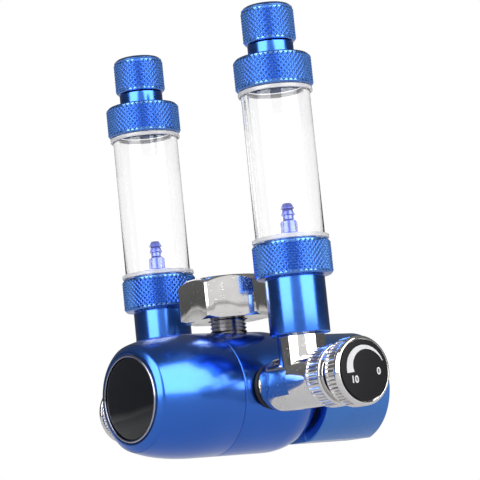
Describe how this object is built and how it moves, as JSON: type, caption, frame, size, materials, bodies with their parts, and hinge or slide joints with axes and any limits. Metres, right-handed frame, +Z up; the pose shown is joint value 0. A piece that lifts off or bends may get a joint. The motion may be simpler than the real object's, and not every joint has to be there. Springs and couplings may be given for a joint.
{
  "type": "aquarium gas regulator",
  "caption": "Compact gas regulator with a solenoid valve, twin needle valves with knurled knobs, and clear bubble counters standing above them.",
  "frame": {"origin": "centre of the inlet's sealing face, where the cylinder valve seats, on the axis of the cylinder nut", "axes": "+Z up out of the inlet, along the counters; the body lies along X with its badge towards -X; the needle valves stand along -Y (front) and +Y (rear)"},
  "size_m": [0.0982, 0.1284, 0.1408],
  "materials": {
    "blue_anodised": "royal blue anodised, satin gloss",
    "chrome": "polished chrome plate",
    "dark_steel": "dark bright thread",
    "steel": "drawn spring steel",
    "brass": "machined",
    "copper_coil": "enamelled winding",
    "black_gloss": "glossy",
    "black_rubber": "matt",
    "white_seal": "satin nylon",
    "clear_acrylic": "polished clear"
  },
  "bodies": {
    "body": {"regulator_body": "blue_anodised", "bonnet_dome": "blue_anodised", "badge_bezel": "chrome", "badge_disc": "black_gloss", "adjusting_screw": "brass", "spring_plate": "brass", "regulating_spring": "steel", "valve_seat": "white_seal", "poppet_spring": "steel", "inlet_stem": "dark_steel", "inlet_seal": "white_seal", "inlet_filter": "brass", "solenoid_gasket": "black_rubber", "solenoid_housing": "blue_anodised", "solenoid_coil": "copper_coil", "guide_tube": "steel", "plunger_spring": "steel", "coil_nut": "chrome", "rear_cover": "blue_anodised", "cable_gland": "black_rubber", "front_port_washer": "black_rubber", "front_valve_body": "chrome", "front_lock_ring": "chrome", "front_counter_base": "blue_anodised", "front_bubble_nozzle": "blue_anodised", "rear_port_washer": "black_rubber", "rear_valve_body": "chrome", "rear_lock_ring": "chrome", "rear_counter_base": "blue_anodised", "rear_bubble_nozzle": "blue_anodised"},
    "nut": {"cylinder_nut": "chrome"},
    "piston": {"piston": "brass", "piston_oring": "black_rubber"},
    "poppet": {"poppet": "brass"},
    "plunger": {"plunger": "steel"},
    "front_needle": {"front_needle": "steel"},
    "front_knob": {"front_knob": "chrome", "front_dial": "black_gloss", "front_knob_screw": "dark_steel"},
    "front_check_ball": {"front_check_ball": "steel"},
    "front_tube": {"front_counter_tube": "clear_acrylic", "front_lower_washer": "white_seal"},
    "front_collar": {"front_lower_collar": "blue_anodised"},
    "front_cap_seal": {"front_upper_washer": "white_seal"},
    "front_cap": {"front_upper_cap": "blue_anodised", "front_outlet_nozzle": "blue_anodised"},
    "front_clamp": {"front_clamp_nut": "blue_anodised"},
    "rear_needle": {"rear_needle": "steel"},
    "rear_knob": {"rear_knob": "chrome", "rear_dial": "black_gloss", "rear_knob_screw": "dark_steel"},
    "rear_check_ball": {"rear_check_ball": "steel"},
    "rear_tube": {"rear_counter_tube": "clear_acrylic", "rear_lower_washer": "white_seal"},
    "rear_collar": {"rear_lower_collar": "blue_anodised"},
    "rear_cap_seal": {"rear_upper_washer": "white_seal"},
    "rear_cap": {"rear_upper_cap": "blue_anodised", "rear_outlet_nozzle": "blue_anodised"},
    "rear_clamp": {"rear_clamp_nut": "blue_anodised"}
  },
  "joints": [
    {"name": "nut_swivel", "type": "hinge", "parent": "body", "child": "nut", "pos_m": [0, 0, -0.003], "axis": [0, 0, 1], "continuous": true},
    {"name": "piston_slide", "type": "slide", "parent": "body", "child": "piston", "axis": [-1, 0, 0], "range_m": [0, 0.0009], "stiffness_N_per_m": 2000, "deforming": ["regulating_spring"]},
    {"name": "poppet_slide", "type": "slide", "parent": "body", "child": "poppet", "axis": [-1, 0, 0], "range_m": [0, 0.0009], "deforming": ["poppet_spring"]},
    {"name": "plunger_slide", "type": "slide", "parent": "body", "child": "plunger", "axis": [1, 0, 0], "range_m": [0, 0.0015], "stiffness_N_per_m": 300, "deforming": ["plunger_spring"]},
    {"name": "front_needle_travel", "type": "slide", "parent": "body", "child": "front_needle", "axis": [0, -1, 0], "range_m": [0, 0.0019]},
    {"name": "front_knob_turn", "type": "hinge", "parent": "front_needle", "child": "front_knob", "pos_m": [0, -0.06, -0.033], "axis": [0, -1, 0], "range_deg": [0, 900]},
    {"name": "front_ball_lift", "type": "slide", "parent": "body", "child": "front_check_ball", "axis": [0, 0, 1], "range_m": [0, 0.001]},
    {"name": "front_tube_lift", "type": "slide", "parent": "body", "child": "front_tube", "axis": [0, 0, 1], "range_m": [0, 0.0041]},
    {"name": "front_collar_turn", "type": "hinge", "parent": "front_tube", "child": "front_collar", "pos_m": [0, -0.0359, 0.005], "axis": [0, 0, 1], "range_deg": [0, 1440]},
    {"name": "front_cap_lift", "type": "slide", "parent": "front_tube", "child": "front_cap_seal", "axis": [0, 0, 1], "range_m": [0, 0.0061]},
    {"name": "front_cap_turn", "type": "hinge", "parent": "front_cap_seal", "child": "front_cap", "pos_m": [0, -0.0359, 0.065], "axis": [0, 0, 1], "range_deg": [0, 2160]},
    {"name": "front_clamp_turn", "type": "hinge", "parent": "front_cap", "child": "front_clamp", "pos_m": [0, -0.0359, 0.081], "axis": [0, 0, 1], "range_deg": [0, 720]},
    {"name": "rear_needle_travel", "type": "slide", "parent": "body", "child": "rear_needle", "axis": [0, 1, 0], "range_m": [0, 0.0019]},
    {"name": "rear_knob_turn", "type": "hinge", "parent": "rear_needle", "child": "rear_knob", "pos_m": [0, 0.06, -0.033], "axis": [0, 1, 0], "range_deg": [0, 900]},
    {"name": "rear_ball_lift", "type": "slide", "parent": "body", "child": "rear_check_ball", "axis": [0, 0, 1], "range_m": [0, 0.001]},
    {"name": "rear_tube_lift", "type": "slide", "parent": "body", "child": "rear_tube", "axis": [0, 0, 1], "range_m": [0, 0.0041]},
    {"name": "rear_collar_turn", "type": "hinge", "parent": "rear_tube", "child": "rear_collar", "pos_m": [0, 0.0359, 0.005], "axis": [0, 0, 1], "range_deg": [0, 1440]},
    {"name": "rear_cap_lift", "type": "slide", "parent": "rear_tube", "child": "rear_cap_seal", "axis": [0, 0, 1], "range_m": [0, 0.0061]},
    {"name": "rear_cap_turn", "type": "hinge", "parent": "rear_cap_seal", "child": "rear_cap", "pos_m": [0, 0.0359, 0.065], "axis": [0, 0, 1], "range_deg": [0, 2160]},
    {"name": "rear_clamp_turn", "type": "hinge", "parent": "rear_cap", "child": "rear_clamp", "pos_m": [0, 0.0359, 0.081], "axis": [0, 0, 1], "range_deg": [0, 720]}
  ],
  "couplings": [
    {"joint": "poppet_slide", "follows": "piston_slide", "ratio": 1},
    {"joint": "front_needle_travel", "follows": "front_knob_turn", "m_per_rad": 0.00011937},
    {"joint": "front_tube_lift", "follows": "front_collar_turn", "m_per_rad": 0.00015915},
    {"joint": "front_cap_lift", "follows": "front_cap_turn", "m_per_rad": 0.00015915},
    {"joint": "rear_needle_travel", "follows": "rear_knob_turn", "m_per_rad": 0.00011937},
    {"joint": "rear_tube_lift", "follows": "rear_collar_turn", "m_per_rad": 0.00015915},
    {"joint": "rear_cap_lift", "follows": "rear_cap_turn", "m_per_rad": 0.00015915}
  ]
}
